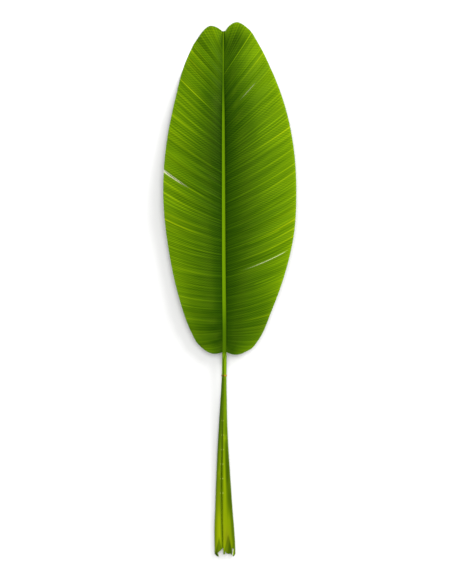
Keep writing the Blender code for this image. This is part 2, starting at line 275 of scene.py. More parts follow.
# The rest of its outside, as far round as that share of the way to a lip, has one tone
UNDERSIDE_TONE = 0.50
UNDERSIDE_SHARE = 0.5
# Those inside the channel change along it, from the sheath to the blade. They are raised as painted
# light, against the shade deep in the channel
INNER_TONES = (
    (0.000, 0.85), (0.060, 0.85), (0.126, 0.75), (0.250, 0.68), (0.340, 0.74), (0.380, 0.78),
    (0.440, 0.64), (0.498, 0.62),
)

# Lighter and darker places, partly the leaf's own colour and partly painted light and shade: (distance
# to the right of the rib, distance from the cut end, half width, half length, change of tone)
SHADES = (
    (-0.065, 0.535, 0.045, 0.045, -0.12),
    (-0.085, 0.610, 0.040, 0.050, -0.07),
    (0.076, 0.535, 0.050, 0.045, -0.08),
    (0.108, 0.575, 0.045, 0.055, -0.13),
    (0.060, 1.050, 0.020, 0.060, -0.03),
    (-0.030, 1.000, 0.040, 0.110, -0.05),
    # Painted sheen on the left face of the fold beside the rib near the tip
    (-0.012, 1.205, 0.022, 0.055, 0.07),
    (-0.100, 1.150, 0.018, 0.060, -0.05),
    (-0.048, 1.250, 0.020, 0.032, -0.08),
    (0.004, 1.205, 0.008, 0.045, 0.04),
    # Painted shade on the right face of the fold near the tip
    (0.034, 1.258, 0.024, 0.036, -0.17),
    (0.052, 1.223, 0.016, 0.022, 0.05),
    (0.078, 1.225, 0.014, 0.030, 0.05),
    (0.141, 1.146, 0.020, 0.030, 0.05),
    # Painted highlight on the right lip of the petiole
    (0.003, 0.289, 0.004, 0.008, 0.13),
    (-0.012, 0.203, 0.004, 0.008, 0.06),
    (-0.0090, 0.126, 0.0035, 0.030, -0.09),
    (0.0120, 0.130, 0.0060, 0.035, -0.04),
    (-0.0095, 0.178, 0.0035, 0.035, -0.09),
    (0.0120, 0.180, 0.0055, 0.030, 0.10),
    # Painted shade at the curled end of the left flap
    (-0.0175, 0.003, 0.0060, 0.006, -0.16),
    (0.0000, 0.036, 0.0018, 0.018, 0.08),
    (0.0070, 0.045, 0.0060, 0.016, -0.07),
    (0.0200, 0.032, 0.0020, 0.016, 0.06),
)
# Yellowish brown tinges, by the same measures
TINGES = (
    (0.0070, 0.052, 0.0070, 0.020, 0.09),
)
# Painted shade: the flaps are darker in wedge shapes from the cut, with soft edges of that width:
# (distance to the right of the rib, half width at the cut, how far from the cut end it comes to a point,
# change of tone)
SHADE_WEDGES = (
    (-0.0115, 0.0122, 0.051, -0.21),
    (0.0106, 0.0142, 0.058, -0.17),
    (0.0145, 0.0078, 0.052, -0.10),
)
SHADE_WEDGE_EDGE = 0.0022

# What a point tells the materials: how far out it is along its vein, where its vein leaves the rib,
# which half it is on, its share of the way out to the margin and of the way round the stalk, its
# broad tone, how much it is a ridge, and how bright, how dry and pale, and how brown it is
MARKS = (
    "reach", "place", "half", "out", "across", "tone", "ridge", "bright", "dry", "brown",
)

# Material numbers: upper and lower face of the blade, inside and outside of the stalk, and the open
# edges of the stalk
BLADE, STALK = (0, 1), (2, 3)
TORN = 4


def curve_between(knots, values, slopes, places):
    """Cubic curve through the values at the knots, with those slopes there."""
    step = np.clip(np.searchsorted(knots, places, side="right") - 1, 0, len(knots) - 2)
    width = knots[step + 1] - knots[step]
    share = np.clip((places - knots[step]) / width, 0.0, 1.0)
    start, end = values[step], values[step + 1]
    rise = 3 * share**2 - 2 * share**3
    lean_in = share * (1 - share) ** 2 * width * slopes[step]
    lean_out = share**2 * (share - 1) * width * slopes[step + 1]
    return start + (end - start) * rise + lean_in + lean_out


def profile(pairs, places):
    """A value that changes smoothly between the given ones and never overshoots them."""
    knots, values = np.array(pairs, float).T
    steps = np.diff(values) / np.diff(knots)
    slopes = np.zeros(len(knots))
    same_way = steps[:-1] * steps[1:] > 0
    before, after = steps[:-1][same_way], steps[1:][same_way]
    slopes[1:-1][same_way] = 2 * before * after / (before + after)
    return curve_between(knots, values, slopes, np.asarray(places, float))


def outline(corners, shares):
    """Points on a rounded line through the corners, at those shares of its length, as x and y."""
    corners = np.array(corners, float)
    knots = np.concatenate([[0.0], np.cumsum(np.linalg.norm(np.diff(corners, axis=0), axis=1))])
    places = np.asarray(shares, float) * knots[-1]
    slopes = np.gradient(corners, knots, axis=0)
    return [curve_between(knots, corners[:, i], slopes[:, i], places) for i in (0, 1)]


def stalk_section(y):
    """The measures of the stalk's section at places along the leaf."""
    columns = np.array(STALK_SECTIONS).T
    return {
        name: profile(np.stack([columns[0], column], axis=1), y)
        for name, column in zip(STALK_COLUMNS, columns)
    }


def oval(half_width, height, opening, across):
    """Points on an oval arc that is lowest at across = 0 and ends at -1 and 1, as x and z."""
    angle = np.radians(opening) * across
    return half_width * np.sin(angle), height / 2 * (1 - np.cos(angle))


def stalk_rows(y, across):
    """Rows across the stalk: their upper points, in the channel, and their lower points, outside."""
    y = np.asarray(y, float)[:, None]
    across = np.asarray(across, float)[None, :]
    size = stalk_section(y)
    lower_x, lower_z = oval(size["half_width"], size["height"], size["opening"], across)
    upper_x, upper_z = oval(
        size["channel_half_width"], size["channel_height"], size["channel_opening"], across
    )
    swelling = SCAR_HEIGHT * np.maximum(0.0, 1 - ((y - SCAR_PLACE) / SCAR_HALF_LENGTH) ** 2)
    lower_x = lower_x * (1 + swelling / size["half_width"])
    lower_z = lower_z * (1 + 2 * swelling / size["height"]) - swelling
    lips = np.clip((abs(across) - SHIFT_START) / (1 - SHIFT_START), 0.0, 1.0) ** SHIFT_POWER
    sway = profile(STALK_SWAY, y) + profile(SLIT_SHIFTS, y) * lips
    y = y + profile(CUT_LINE, across) * np.maximum(0.0, 1 - y / CUT_REACH)
    curl_share = np.where(across < 0, CURL_SHARES[LEFT], CURL_SHARES[RIGHT])
    width = 1 - curl_share * np.clip(1 - y / CURL_REACH, 0.0, 1.0) ** CURL_POWER
    upper_z = size["underside"] + size["floor"] + upper_z
    lower_z = np.maximum(size["underside"] + lower_z, 0.0)
    upper = np.stack(np.broadcast_arrays(upper_x * width + sway, y, upper_z), axis=-1)
    lower = np.stack(np.broadcast_arrays(lower_x * width + sway, y, lower_z), axis=-1)
    return upper, lower


def blade_points(side, along, out):
    """Upper points of one half of the blade, that far along the rib and that share of the way out to
    the margin, and the lengths of their veins."""
    y = BLADE_BASE + along * RIB_LENGTH
    edges = stalk_rows(y.ravel(), [side])[0].reshape(*y.shape, 3)
    root_x, root_z = edges[..., 0], edges[..., 2]
    margin, vein_ends = BLADE_HALVES[side]
    end_x, end_y = outline(margin, profile(vein_ends, along))
    end_x = side * end_x
    length = np.hypot(end_x - root_x, end_y - y)
    middle_x = (root_x + end_x) / 2
    middle_y = (y + end_y) / 2 - profile(VEIN_SAGS, along) * length
    x = (1 - out) ** 2 * root_x + 2 * out * (1 - out) * middle_x + out**2 * end_x
    y = (1 - out) ** 2 * y + 2 * out * (1 - out) * middle_y + out**2 * end_y
    z = blade_height(side, along, out, length, root_z)
    return np.stack([x, y, z], axis=-1), length


def blade_height(side, along, out, length, root_z):
    """Height of the blade: it rises from the rib, arches over and droops to the margin."""
    margin_z = profile(MARGIN_HEIGHTS, along)
    arch = out * (1 - out) ** 2 * 27 / 4  # rises to 1 a third of the way out
    crest = profile(CREST_SHARES, along) * length * arch
    wave = WAVE_HEIGHT * np.sin(2 * np.pi * WAVE_COUNT * along + side) * out**3
    drift = PLEAT_DRIFT * np.sin(2 * np.pi * PLEAT_DRIFT_COUNT * along + side)
    pleat = PLEAT_HEIGHT * np.sin(2 * np.pi * (PLEAT_COUNT * along + drift)) * pleat_share(out)
    ridge = VEIN_HEIGHT * vein_ridge(side, along, out)
    return root_z + (margin_z - root_z) * out**DROOP_POWER + crest + wave + pleat + ridge


def pleat_share(out):
    """How much of its full height a pleat has that far along a vein."""
    return np.minimum(1.0, out / PLEAT_START)


def vein_ridge(side, along, out):
    """How much of a ridge there is, from -1 between side veins to 1 on one, fading out at both ends."""
    place = along * RIB_LENGTH
    turns = place / VEIN_SPACING
    turns = turns + LONG_STRAY * np.sin(place / LONG_STRAY_LENGTH + side)
    turns = turns + SHORT_STRAY * np.sin(place / SHORT_STRAY_LENGTH)
    fade = np.minimum(1.0, out / VEIN_FADE_IN) * np.minimum(1.0, (1 - out) / VEIN_FADE_OUT)
    return np.sin(2 * np.pi * turns) * fade


def tear_gap(side, along, out):
    """Half the width of a tear along a vein, as a share of the rib's length."""
    for tear_side, place, start, end, width, _ in TEARS:
        if side != tear_side or along != place:
            continue
        share = np.clip((out - start) / (min(end, 1.0) - start), 0.0, 1.0)
        shape = share if end > 1 else np.sin(np.pi * share) * (share < 1)
        return width / 2 * np.sqrt(shape) / RIB_LENGTH
    return np.zeros(len(out))


def lip_lift(side, along, out, after):
    """How far the blade is lifted beside a tear: up on the one lip, and less far down on the other."""
    lift = np.zeros(np.broadcast_shapes(along.shape, out.shape))
    for tear_side, place, start, end, *_ in TEARS:
        if side != tear_side:
            continue
        share = np.clip((out - start) / (min(end, 1.0) - start), 0.0, 1.0)
        share = share if end > 1 else np.sin(np.pi * share)
        offset = (along - place) * RIB_LENGTH
        above = (offset > SAME_PLACE) | ((abs(offset) <= SAME_PLACE) & after)
        lift += LIP_LIFT * share * np.exp(-((offset / LIP_REACH) ** 2)) * np.where(above, 1.0, -LIP_DROP)
    return lift


class Sheet:
    """Rows of points with an upper and a lower place each, and the faces between them."""

    def __init__(self):
        self.upper = []
        self.lower = []
        self.upper_marks = []
        self.lower_marks = []
        self.count = 0
        self.faces = []
        self.materials = []

    def add(self, upper, lower, upper_marks, lower_marks):
        """Adds a row of points, and returns their numbers."""
        self.upper.append(upper)
        self.lower.append(lower)
        self.upper_marks.append(self.in_columns(upper_marks, len(upper)))
        self.lower_marks.append(self.in_columns(lower_marks, len(lower)))
        self.count += len(upper)
        return list(range(self.count - len(upper), self.count))

    def in_columns(self, marks, count):
        return np.stack([np.broadcast_to(marks.get(name, 0.0), count) for name in MARKS], axis=1)

    def join(self, near, far, materials):
        """Faces between two rows of points, which may hold different numbers of points."""
        before = len(self.faces)
        if len(near) == len(far):
            self.faces += zip(near, near[1:], far[1:], far)
        else:
            self.zip_rows(near, far)
        self.materials += [materials] * (len(self.faces) - before)

    def zip_rows(self, near, far):
        i = j = 0
        while i < len(near) - 1 or j < len(far) - 1:
            near_is_behind = (i + 1) * (len(far) - 1) <= (j + 1) * (len(near) - 1)
            if i < len(near) - 1 and near_is_behind:
                self.faces.append((near[i], near[i + 1], far[j]))
                i += 1
            else:
                self.faces.append((near[i], far[j + 1], far[j]))
                j += 1

    def solid(self):
        """The points, marks, faces and materials of the sheet given its thickness, with a wall along
        each open edge."""
        faces = list(self.faces)
        materials = [upper for upper, _ in self.materials]
        owners = {}
        for face, (upper, _) in zip(faces, self.materials):
            for edge in zip(face, face[1:] + face[:1]):
                owners[edge] = upper
        faces += [tuple(point + self.count for point in reversed(face)) for face in faces]
        materials += [lower for _, lower in self.materials]
        for (a, b), owner in owners.items():
            if (b, a) not in owners:
                faces.append((b, a, a + self.count, b + self.count))
                materials.append(TORN if owner == STALK[0] else owner)
        points = np.concatenate(self.upper + self.lower)
        marks = np.concatenate(self.upper_marks + self.lower_marks)
        return points, marks, faces, materials


def blade_places():
    """The rows of the blade, as shares of the rib, with a row on each tear."""
    places = np.linspace(0, 1, BLADE_ROWS)
    for _, place, *_ in TEARS:
        places[np.argmin(abs(places - place))] = place
    return places


def dryness(side, along, out):
    """How dry and pale the blade is beside its tears, most on their lips."""
    dry = np.zeros(len(out))
    for tear_side, place, start, end, width, paleness in TEARS:
        if side == tear_side:
            share = np.clip((out - start) / (min(end, 1.0) - start), 0.0, 1.0)
            shape = share if end > 1 else np.sin(np.pi * share**2)
            reach = DRY_REACH * np.clip(np.sqrt(shape) * width / DRY_WIDTH, DRY_LEAST, 1.0)
            away = abs(along - place) * RIB_LENGTH
            dry += paleness * np.clip(1 - away / reach, 0.0, 1.0) * np.clip(shape * DRY_RISE, 0.0, 1.0)
    return dry


def bright_veins(side, along, out):
    """How bright a named vein makes the blade there."""
    bright = np.zeros(len(out))
    for vein_side, place, start, end, strength in BRIGHT_VEINS:
        if side == vein_side:
            offset = (along - place) * RIB_LENGTH / BRIGHT_VEIN_WIDTH
            fade_in = np.clip((out - start) / BRIGHT_FADE, 0, 1)
            fade_out = np.clip((end - out) / BRIGHT_FADE, 0, 1)
            bright += strength * np.exp(-(offset**2)) * (fade_in * fade_out)
    return bright


def patches(points, places):
    """The sum at those points of soft oval patches, each given by its place, half sizes and strength."""
    change = np.zeros(len(points))
    for x, y, half_width, half_length, strength in places:
        away = ((points[:, 0] - x) / half_width) ** 2 + ((points[:, 1] - y) / half_length) ** 2
        change += strength * np.exp(-away)
    return change


def painted_shade_wedges(points):
    """How much darker the flaps are at those points, as painted shade."""
    change = np.zeros(len(points))
    for x, half_width, apex, strength in SHADE_WEDGES:
        room = half_width * (1 - points[:, 1] / apex) - abs(points[:, 0] - x)
        change += strength * np.clip(room / SHADE_WEDGE_EDGE, 0.0, 1.0)
    return change


def vein_place(y):
    """The place that the patterns take for a vein that leaves the rib there. It is drawn out at the
    lobes, where many veins fan out from a short stretch of the rib."""
    return y - FAN_SHIFT * np.exp(-(y - BLADE_BASE) / FAN_REACH)


def half_row(sheet, side, along, root, gap, after):
    """One vein from its root to the margin, moved by the gap of a tear."""
    out = np.linspace(0, 1, BLADE_COLUMNS + 1)[1:]
    upper, length = blade_points(side, np.full(len(out), along) + gap, out)
    upper[:, 2] += lip_lift(side, np.full(len(out), along), out, after)
    upper[:, 2] = np.maximum(upper[:, 2], SOLID_THICKNESS)
    lower = upper - [0, 0, SOLID_THICKNESS]
    upper = lower + [0, 0, BLADE_THICKNESS]
    marks = {
        "reach": out * length,
        "place": vein_place(BLADE_BASE + along * RIB_LENGTH),
        "half": side,
        "out": out,
        "tone": profile(BLADE_TONES[side], out) + patches(upper, SHADES),
        "ridge": vein_ridge(side, along, out),
        "bright": bright_veins(side, along, out),
        "dry": dryness(side, along, out),
    }
    return [root] + sheet.add(upper, lower, marks, marks)


def add_half_row(sheet, side, along, root):
    """A vein twice: as the row before sees it, and as the row after does. The two are the same points,
    but for where a tear parts them."""
    out = np.linspace(0, 1, BLADE_COLUMNS + 1)[1:]
    gap = tear_gap(side, along, out)
    first = half_row(sheet, side, along, root, -gap, False)
    if not gap.any():
        return first, first
    second = half_row(sheet, side, along, root, gap, True)
    second = [root] + [b if g > 0 else a for a, b, g in zip(first[1:], second[1:], gap)]
    return first, second


def rib_marks(y, across, upper):
    """What the points of one row of the rib tell the materials: first the upper, then the lower."""
    edge = np.where(across < 0, LEFT_TONES[0][1], RIGHT_TONES[0][1])
    share = np.clip((1 - abs(across)) / (1 - RIB_EDGE), 0.0, 1.0)
    tone = profile(RIB_TONES, y) * share + edge * (1 - share)
    place = np.where(abs(across) == 1, vein_place(y), y)
    marks = {"place": place, "half": across, "across": across}
    return marks | {"tone": tone + patches(upper, SHADES)}, marks | {"tone": UNDERSIDE_TONE}


def stalk_marks(y, across, upper, lower):
    """What the points of one row of the petiole or the sheath tell the materials: first the upper,
    in the channel, then the lower, outside."""
    seen = (lower[:, 0] - profile(STALK_SWAY, y)) / stalk_section(y)["half_width"]
    starts = [start for start, _ in STALK_TONES]
    outside = [np.interp(y, starts, tones) for tones in zip(*(profile(t, seen) for _, t in STALK_TONES))]
    # The patches add the stalk's own colour with painted light and shade, and the wedge shapes painted
    # shade
    outside += patches(lower, SHADES) + painted_shade_wedges(lower)
    outside = np.where(abs(across) > UNDERSIDE_SHARE, outside, UNDERSIDE_TONE)
    brown = np.exp(-(((y - SCAR_PLACE) / BROWN_HALF_LENGTH) ** 2)) + patches(lower, TINGES)
    marks = {"place": y, "half": across, "across": across, "brown": brown}
    return marks | {"tone": profile(INNER_TONES, y)}, marks | {"tone": outside}


def add_blade(sheet, last_stalk_row):
    """Both halves of the blade with the rib between them, joined to the petiole's last row."""
    middle_before = last_stalk_row
    halves_before = None
    places = blade_places()
    across = np.linspace(-1, 1, RIB_POINTS)
    uppers, lowers = stalk_rows(BLADE_BASE + places * RIB_LENGTH, across)
    for along, upper, lower in zip(places, uppers, lowers):
        y = BLADE_BASE + along * RIB_LENGTH
        middle = sheet.add(upper, lower, *rib_marks(y, across, upper))
        left = add_half_row(sheet, LEFT, along, middle[0])
        right = add_half_row(sheet, RIGHT, along, middle[-1])
        sheet.join(middle_before, middle, STALK)
        if halves_before:
            sheet.join(halves_before[0][::-1], left[0][::-1], BLADE)
            sheet.join(halves_before[1], right[0], BLADE)
        middle_before = middle
        halves_before = left[1], right[1]


def stalk_places():
    """The rows of the stalk, close together at the cut and at the scar."""
    near_cut = np.arange(0, CUT_REACH, CUT_STEP)
    scar_rows = np.arange(-SCAR_ROWS_EACH_WAY, SCAR_ROWS_EACH_WAY + 1)
    near_scar = scar_rows * SCAR_STEP + SCAR_PLACE
    places = np.arange(CUT_REACH, BLADE_BASE - STALK_STEP / 2, STALK_STEP)
    before_scar = places < near_scar[0] - SCAR_CLEARANCE
    after_scar = places > near_scar[-1] + SCAR_CLEARANCE
    places = places[before_scar | after_scar]
    return np.sort(np.concatenate([near_cut, places, near_scar]))


def add_stalk(sheet):
    """The sheath and the petiole, from the cut end to the blade. Returns the last row."""
    places = stalk_places()
    corners = [place for place, _ in CUT_LINE]
    across = np.unique(np.round([*np.linspace(-1, 1, STALK_POINTS), *corners], 4))
    before = None
    for y, upper, lower in zip(places, *stalk_rows(places, across)):
        row = sheet.add(upper, lower, *stalk_marks(y, across, upper, lower))
        if before:
            sheet.join(before, row, STALK)
        before = row
    return before


# The flat map for the patterns: where each part of it starts from the left and how wide it is there.
# Along the leaf, the flat parts start at the lobes.
MAP_STRIPS = {
    "upper": (0.004, 0.396), "lower": (0.408, 0.330), "inside": (0.746, 0.060),
    "outside": (0.814, 0.092), "cut": (0.912, 0.002), "channel": (0.924, 0.028), "keel": (0.958, 0.038),
}
MAP_EDGE = 0.004
LOBE_BASE = 0.485


def flat_map(points, marks, faces, materials):
    """Where each corner of each face lies on the map: the blade as seen from above and from below, and
    the stalk and the rib unrolled."""
    sizes = [len(face) for face in faces]
    starts = np.cumsum([0, *sizes[:-1]])
    corners = np.concatenate(faces)
    material = np.repeat(materials, sizes)
    x, y = points[corners, 0], points[corners, 1]
    is_rib = np.repeat(np.maximum.reduceat(y, starts) > BLADE_BASE + SAME_PLACE, sizes)
    is_lower = corners >= len(points) // 2
    flat = (x + LEFT_HALF_WIDTH) / (LEFT_HALF_WIDTH + RIGHT_HALF_WIDTH)
    unrolled = (marks[corners, MARKS.index("across")] + 1) / 2
    from_lobes = (y - LOBE_BASE) / (LEAF_LENGTH - LOBE_BASE)
    from_cut = y / BLADE_BASE
    spots = np.zeros((len(corners), 2))
    for name, chosen, left, up in (
        ("upper", material == BLADE[0], flat, from_lobes),
        ("lower", material == BLADE[1], 1 - flat, from_lobes),
        ("inside", (material == STALK[0]) & ~is_rib, unrolled, from_cut),
        ("outside", (material == STALK[1]) & ~is_rib, 1 - unrolled, from_cut),
        ("channel", (material == STALK[0]) & is_rib, unrolled, from_lobes),
        ("keel", (material == STALK[1]) & is_rib, 1 - unrolled, from_lobes),
        ("cut", material == TORN, unrolled + 2 * is_lower, y / LEAF_LENGTH),
    ):
        start, width = MAP_STRIPS[name]
        up = MAP_EDGE + (1 - 2 * MAP_EDGE) * up
        spots[chosen] = np.stack([start + width * left, up], axis=1)[chosen]
    return spots


# The waxy surface shines a little, in a yellowish green
SPECULAR = 0.15
SHEEN_COLOUR = (0.60, 0.85, 0.03)

# How rough all noise is, and how far apart in it the patterns of the two halves of the leaf lie
NOISE_ROUGHNESS = 0.6
HALVES_APART = 5.0

# Lines along the veins: the noise by which they wander, as wide as that many of their spacings, how
# far those of the two halves are moved, and the noise that makes them stronger here and weaker there
WANDER_SPACINGS, WANDER_LENGTH = 3, 0.60
LINE_OFFSET = 0.21
STRENGTH_SPACINGS, STRENGTH_LENGTH = 1.1, 0.30
STRENGTH_SEED = 9
STRENGTH_LIMITS = (-0.35, 0.5)

# A lattice across the veins: how far it slants to them, how far apart its lines are, and the noise
# that makes it fainter here and there
HATCH_SLANT = 0.75
HATCH_SPACING = 0.0054
HATCH_PATCH = (0.04, 0.05)
HATCH_LIMITS = (-0.4, 0.4, 0.2, 1.0)


class Nodes:
    """Puts nodes into a material, each linked to what it is worked out from."""

    def __init__(self, name):
        self.material = bpy.data.materials.new(name)
        self.material.use_nodes = True
        self.tree = self.material.node_tree
        self.shader = self.tree.nodes["Principled BSDF"]

    def put(self, socket, value):
        """Links the socket to another one, or sets it to a value."""
        if hasattr(value, "is_output"):
            self.tree.links.new(value, socket)
        else:
            socket.default_value = value

    def mark(self, name):
        node = self.tree.nodes.new("ShaderNodeAttribute")
        node.attribute_name = name
        return node.outputs["Fac"]

    def math(self, operation, *values):
        node = self.tree.nodes.new("ShaderNodeMath")
        node.operation = operation
        for socket, value in zip(node.inputs, values):
            self.put(socket, value)
        return node.outputs[0]

    def add(self, *values):
        total = values[0]
        for value in values[1:]:
            total = self.math("ADD", total, value)
        return total

    def times(self, a, b):
        return self.math("MULTIPLY", a, b)

    def limits(self, value, low, high, to_low=0.0, to_high=1.0):
        """Turns low to high into to_low to to_high, smoothly, and holds it there outside."""
        node = self.tree.nodes.new("ShaderNodeMapRange")
        node.interpolation_type = "SMOOTHSTEP"
        for socket, item in zip(node.inputs, (value, low, high, to_low, to_high)):
            self.put(socket, item)
        return node.outputs[0]

    def streaks(self, width, length, detail, seed):
        """Noise from -1 to 1 that is that wide across the veins and that long along them."""
        vector = self.tree.nodes.new("ShaderNodeCombineXYZ")
        self.put(vector.inputs[0], self.math("DIVIDE", self.mark("place"), width))
        self.put(vector.inputs[1], self.math("DIVIDE", self.mark("reach"), length))
        self.put(vector.inputs[2], self.math("MULTIPLY_ADD", self.mark("half"), HALVES_APART, seed))
        return self.noise(vector.outputs[0], detail)

    def noise(self, vector, detail):
        """Noise from -1 to 1 at that place."""
        noise = self.tree.nodes.new("ShaderNodeTexNoise")
        self.put(noise.inputs["Vector"], vector)
        noise.inputs["Scale"].default_value = 1.0
        noise.inputs["Detail"].default_value = detail
        noise.inputs["Roughness"].default_value = NOISE_ROUGHNESS
        return self.math("MULTIPLY_ADD", noise.outputs[0], 2.0, -1.0)

    def ramp(self, value, stops):
        node = self.tree.nodes.new("ShaderNodeValToRGB")
        elements = node.color_ramp.elements
        while len(elements) < len(stops):
            elements.new(0.5)
        for element, (place, colour) in zip(elements, stops):
            element.position = place
            element.color = (*colour, 1)
        self.put(node.inputs[0], value)
        return node.outputs[0]

    def mix(self, share, a, b):
        node = self.tree.nodes.new("ShaderNodeMix")
        node.data_type = "RGBA"
        self.put(node.inputs["Factor"], share)
        self.put(node.inputs["A"], (*a, 1) if isinstance(a, tuple) else a)
        self.put(node.inputs["B"], (*b, 1) if isinstance(b, tuple) else b)
        return node.outputs["Result"]

    def bump(self, height, depth):
        """Relief of that depth in metres where the height goes from 0 to 1."""
        node = self.tree.nodes.new("ShaderNodeBump")
        node.inputs["Distance"].default_value = depth
        self.put(node.inputs["Height"], height)
        self.put(self.shader.inputs["Normal"], node.outputs[0])

    def lines(self, spacing, sharpness, jitter, seed):
        """Narrow lines along the veins, from 0 to 1, about that far apart, each stronger here and
        weaker there."""
        wander = self.streaks(spacing * WANDER_SPACINGS, WANDER_LENGTH, 1.0, seed)
        turns = self.add(
            self.math("DIVIDE", self.mark("place"), spacing),
            self.times(wander, jitter),
            self.times(self.mark("half"), LINE_OFFSET),
        )
        wave = self.math("SINE", self.times(turns, 2 * np.pi))
        peaks = self.math("POWER", self.math("MULTIPLY_ADD", wave, 0.5, 0.5), sharpness)
        strength = self.streaks(spacing * STRENGTH_SPACINGS, STRENGTH_LENGTH, 1.0, seed + STRENGTH_SEED)
        return self.times(peaks, self.limits(strength, *STRENGTH_LIMITS))

    def hatching(self):
        """A faint lattice that runs aslant across the veins."""
        slanted = self.math("MULTIPLY_ADD", self.mark("reach"), HATCH_SLANT, self.mark("place"))
        wave = self.math("SINE", self.times(slanted, 2 * np.pi / HATCH_SPACING))
        return self.times(wave, self.limits(self.streaks(*HATCH_PATCH, 1.0, 7.0), *HATCH_LIMITS))

    def finish(self, colour, roughness, specular=SPECULAR):
        """Sets the look of the surface, and returns the material."""
        self.put(self.shader.inputs["Base Color"], colour)
        self.put(self.shader.inputs["Roughness"], roughness)
        self.shader.inputs["Specular IOR Level"].default_value = specular
        self.shader.inputs["Specular Tint"].default_value = (*SHEEN_COLOUR, 1)
        return self.material


# Greens by tone, from the darkest beside the rib to the yellowest on a bright vein
GREENS = (
    (0.20, (0.0025, 0.016, 0.0003)),
    (0.30, (0.0095, 0.038, 0.0004)),
    (0.40, (0.025, 0.070, 0.0005)),
    (0.50, (0.050, 0.113, 0.0006)),
    (0.60, (0.084, 0.168, 0.0008)),
    (0.70, (0.131, 0.236, 0.0010)),
    (0.85, (0.220, 0.337, 0.0020)),
)
# Greens of the stalk by tone, which are yellower
STALK_GREENS = (
    (0.20, (0.0040, 0.016, 0.0004)),
    (0.33, (0.0223, 0.048, 0.0006)),
    (0.43, (0.047, 0.082, 0.0006)),
    (0.53, (0.079, 0.128, 0.0007)),
    (0.63, (0.128, 0.185, 0.0008)),
    (0.71, (0.180, 0.240, 0.0010)),
    (0.85, (0.290, 0.360, 0.0030)),
)
DRY_COLOUR = (0.72, 0.75, 0.42)
BLOOM_COLOUR = (0.15, 0.20, 0.09)
TORN_COLOUR = (0.16, 0.22, 0.04)
# Colour of the painted highlights along the lips of the slit
LIP_HIGHLIGHT_COLOUR = (0.44, 0.52, 0.08)
# The brown of the scar: the darker one on the left is painted shade
SCAR_BROWNS_SHADED_AND_LIT = {LEFT: (0.10, 0.045, 0.002), RIGHT: (0.36, 0.16, 0.016)}

# How wide across the veins and how long along them the broad, middle and fine streaks are
BAND_SIZE = (0.022, 0.45)
STREAK_SIZE = (0.0065, 0.20)
UNDER_STREAK_SIZE = (0.0065, 0.16)
FINE_SIZE = (0.0026, 0.09)
STRONG_LINE_SPACING = 0.0165

# What each pattern adds to the tone of the blade from above, and what is taken off to make up for it
PATTERN_SHARES = {
    "bands": 0.055, "streaks": 0.055, "fine": 0.11, "strong lines": 0.17, "vein lines": 0.10,
    "hatching": 0.036, "ridges": 0.010,
}
PATTERN_OFFSET = -0.030
# The patterns get stronger over a share of the way to the margin, and over a stretch of the rib, as
# (from, to, strength before it, strength after it)
GAIN_OUTWARDS = (0.0, 0.7, 0.75, 1.2)
GAIN_ALONG = (0.50, 0.75, 0.65, 1.0)
# What a bright vein adds to the tone
BRIGHT_SHARE = 0.18
# Strong lines and, less so, the broad streaks are yellower towards the margin
YELLOWNESS = 0.7
YELLOW_BANDS = 0.8
BLADE_RELIEF = 0.00040

# From below the blade keeps half of its differences in tone, and has only the broad and the middle
# streaks. Its side veins are darker, and a grey bloom lies over its green.
UNDER_CONTRAST = 0.5
UNDER_TONE = 0.32
UNDER_BANDS = 0.05
UNDER_STREAKS = 0.06
UNDER_RIDGES = -0.02
UNDER_RELIEF = 0.00015
BLOOM_SHARE = 0.35

BLADE_ROUGHNESS = 0.42
UNDER_ROUGHNESS = 0.62
STALK_ROUGHNESS = 0.45
TORN_ROUGHNESS = 0.6
FLOOR_ROUGHNESS = 0.9

# Fibres of the stalk: how long they are, and how wide inside and outside, as a share of half the way
# round it
FIBRE_LENGTH = 0.10
INNER_FIBRE_WIDTH = 0.16
OUTER_FIBRE_WIDTH = 0.05
FIBRE_RELIEF = 0.00015

# Pale specks, painted highlights on the lips of the slit: how far from the cut end the first one is, how
# far apart they are, how many there are beside each lip, how close to the lip and how short they are,
# and how much of their colour shows.
# Beyond the first and the last one they fade out over that part of a step.
SPECK_START = 0.1547
SPECK_SPACING = 0.0353
SPECK_COUNT = 6
SPECK_REACH = (0.940, 0.965)
SPECK_PEAK = (0.970, 0.985)
SPECK_STRENGTH = 0.35
SPECK_FADE = (0.4, 0.3)


def blade_upper():
    """The blade from above: green that lightens towards the margin, streaked along its veins."""
    nodes = Nodes("blade_upper")
    bands = nodes.streaks(*BAND_SIZE, 2.0, 1.0)
    streaks = nodes.streaks(*STREAK_SIZE, 2.0, 2.0)
    fine = nodes.streaks(*FINE_SIZE, 2.0, 3.0)
    strong_lines = nodes.lines(STRONG_LINE_SPACING, 14.0, 0.5, 20.0)
    patterns = {
        "bands": bands,
        "streaks": streaks,
        "fine": fine,
        "strong lines": strong_lines,
        "vein lines": nodes.lines(VEIN_SPACING, 5.0, 0.4, 30.0),
        "hatching": nodes.hatching(),
        "ridges": nodes.mark("ridge"),
    }
    shares = [nodes.times(patterns[name], share) for name, share in PATTERN_SHARES.items()]
    relief = nodes.add(*shares, PATTERN_OFFSET)
    gain = nodes.times(
        nodes.limits(nodes.mark("out"), *GAIN_OUTWARDS),
        nodes.limits(nodes.mark("place"), *GAIN_ALONG),
    )
    bright = nodes.times(nodes.mark("bright"), BRIGHT_SHARE)
    tone = nodes.add(nodes.mark("tone"), nodes.times(relief, gain), bright)
    yellow_patterns = nodes.add(strong_lines, nodes.times(bands, YELLOW_BANDS))
    yellowness = nodes.times(nodes.times(yellow_patterns, nodes.mark("out")), YELLOWNESS)
    green = nodes.mix(yellowness, nodes.ramp(tone, GREENS), nodes.ramp(tone, STALK_GREENS))
    colour = nodes.mix(nodes.mark("dry"), green, DRY_COLOUR)
    nodes.bump(relief, BLADE_RELIEF)
    return nodes.finish(colour, nodes.math("MULTIPLY_ADD", fine, 0.06, BLADE_ROUGHNESS))


